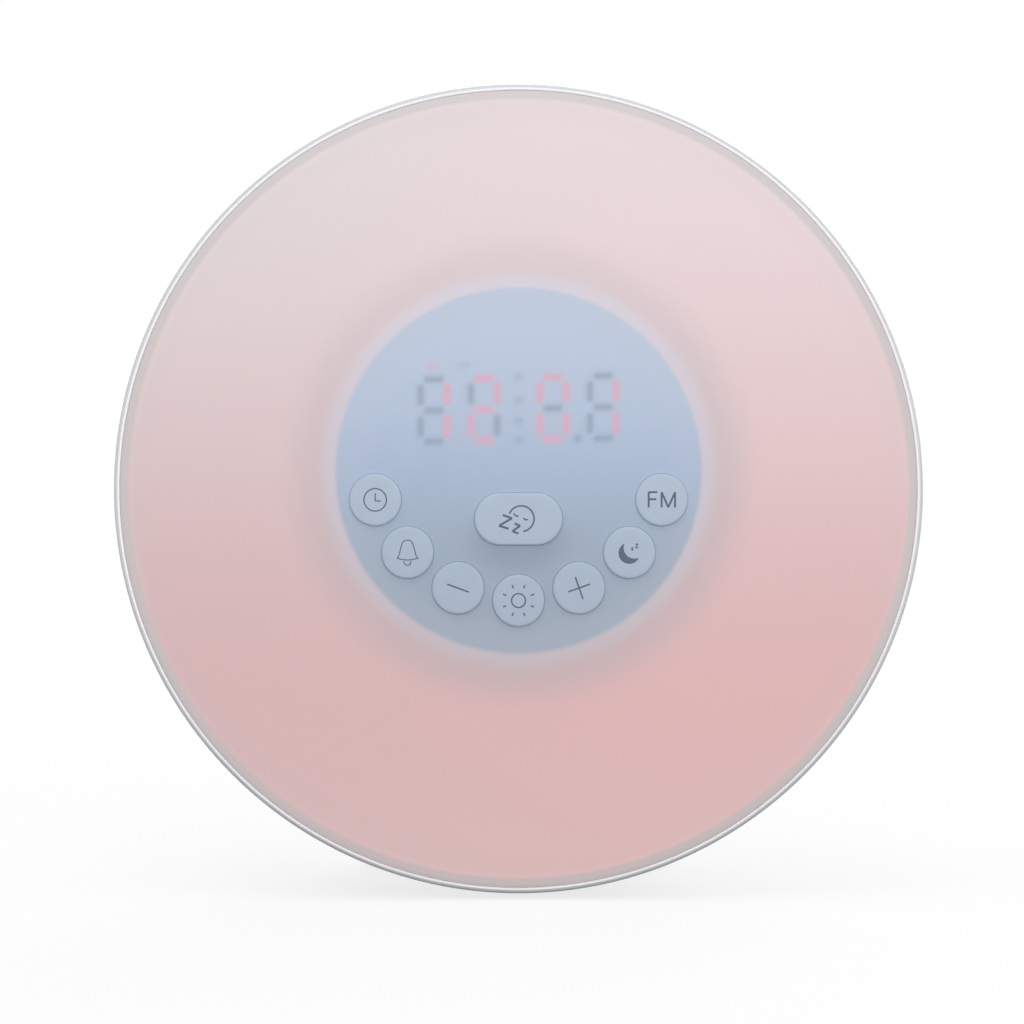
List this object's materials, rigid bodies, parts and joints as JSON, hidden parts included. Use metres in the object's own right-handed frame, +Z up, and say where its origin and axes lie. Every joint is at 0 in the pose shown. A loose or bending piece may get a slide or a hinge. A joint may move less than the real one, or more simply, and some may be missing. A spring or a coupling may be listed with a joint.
{
  "type": "sunrise alarm clock",
  "caption": "Round sunrise alarm clock: white housing with a leaning foot, frosted lens glowing pink, digital display and touch-sized buttons in an arc",
  "frame": {"origin": "centre of the bounding box's underside, on the surface that the clock stands on", "axes": "+Z up, the face looks along -Y, +X to the right as seen from the front"},
  "size_m": [0.17, 0.077, 0.1712],
  "materials": {
    "shell_white": "moulded ABS, satin to glossy",
    "frosted_lens": "frosted acrylic, lit pink from behind",
    "dish_white": "white reflector plastic",
    "board_green": "fibreglass board with solder mask",
    "led_white": "LED packages",
    "pod_grey_blue": "grey-blue moulded plastic behind the lens",
    "display_dark": "display body",
    "display_glow": "light pipes of the digits",
    "button_grey_blue": "fine matt button caps",
    "plunger_black": "switch plastic",
    "steel": "zinc-plated steel",
    "chip_black": "moulded black plastic",
    "capacitor_sleeve": "shrunk sleeve",
    "connector_white": "nylon",
    "ribbon_grey": "flat cable",
    "speaker_frame": "pressed steel, painted black",
    "magnet_dark": "ferrite and steel",
    "cone_paper": "pressed paper",
    "plated_spring": "nickel-plated spring steel",
    "rubber_grey": "soft rubber"
  },
  "bodies": {
    "clock": {"aerial_gland": "rubber_grey", "amplifier_chip": "chip_black", "base_plate": "shell_white", "base_screws": "steel", "battery_contacts": "plated_spring", "battery_springs": "plated_spring", "board_connectors": "connector_white", "capacitors": "capacitor_sleeve", "clock_crystal": "steel", "control_chip": "chip_black", "diffuser_lens": "frosted_lens", "display_board": "board_green", "display_board_screws": "steel", "display_module": "display_dark", "display_segments": "display_glow", "housing_screws": "steel", "led_board_screws": "steel", "led_ring_board": "board_green", "leds": "led_white", "main_board": "board_green", "main_board_screws": "steel", "pod_screws": "steel", "pod_shell": "pod_grey_blue", "power_socket": "chip_black", "radio_chip": "chip_black", "rear_housing": "shell_white", "reflector": "dish_white", "ribbon_cable": "ribbon_grey", "rubber_feet": "rubber_grey", "socket_pin": "plated_spring", "speaker_basket": "speaker_frame", "speaker_magnet": "magnet_dark", "switch_bases": "plunger_black", "switch_covers": "steel"},
    "clock_press": {"clock_button": "button_grey_blue", "clock_plunger": "plunger_black"},
    "alarm_press": {"alarm_button": "button_grey_blue", "alarm_plunger": "plunger_black"},
    "minus_press": {"minus_button": "button_grey_blue", "minus_plunger": "plunger_black"},
    "light_press": {"light_button": "button_grey_blue", "light_plunger": "plunger_black"},
    "plus_press": {"plus_button": "button_grey_blue", "plus_plunger": "plunger_black"},
    "sleep_press": {"sleep_button": "button_grey_blue", "sleep_plunger": "plunger_black"},
    "radio_press": {"radio_button": "button_grey_blue", "radio_plunger": "plunger_black"},
    "snooze_press": {"snooze_button": "button_grey_blue", "snooze_plunger": "plunger_black"},
    "door": {"battery_door": "shell_white"},
    "cone": {"speaker_cone": "cone_paper"}
  },
  "joints": [
    {"name": "clock_press", "type": "slide", "parent": "clock", "child": "clock_press", "axis": [0, 1, 0], "range_m": [0, 0.0005], "stiffness_N_per_m": 3000},
    {"name": "alarm_press", "type": "slide", "parent": "clock", "child": "alarm_press", "axis": [0, 1, 0], "range_m": [0, 0.0005], "stiffness_N_per_m": 3000},
    {"name": "minus_press", "type": "slide", "parent": "clock", "child": "minus_press", "axis": [0, 1, 0], "range_m": [0, 0.0005], "stiffness_N_per_m": 3000},
    {"name": "light_press", "type": "slide", "parent": "clock", "child": "light_press", "axis": [0, 1, 0], "range_m": [0, 0.0005], "stiffness_N_per_m": 3000},
    {"name": "plus_press", "type": "slide", "parent": "clock", "child": "plus_press", "axis": [0, 1, 0], "range_m": [0, 0.0005], "stiffness_N_per_m": 3000},
    {"name": "sleep_press", "type": "slide", "parent": "clock", "child": "sleep_press", "axis": [0, 1, 0], "range_m": [0, 0.0005], "stiffness_N_per_m": 3000},
    {"name": "radio_press", "type": "slide", "parent": "clock", "child": "radio_press", "axis": [0, 1, 0], "range_m": [0, 0.0005], "stiffness_N_per_m": 3000},
    {"name": "snooze_press", "type": "slide", "parent": "clock", "child": "snooze_press", "axis": [0, 1, 0], "range_m": [0, 0.0005], "stiffness_N_per_m": 3000},
    {"name": "door_hinge", "type": "hinge", "parent": "clock", "child": "door", "pos_m": [0, 0.0225, 0.0479], "axis": [-1, 0, 0], "range_deg": [0, 80]},
    {"name": "cone_travel", "type": "slide", "parent": "clock", "child": "cone", "axis": [0, 1, 0], "range_m": [-0.0003, 0.0003], "stiffness_N_per_m": 1500}
  ]
}
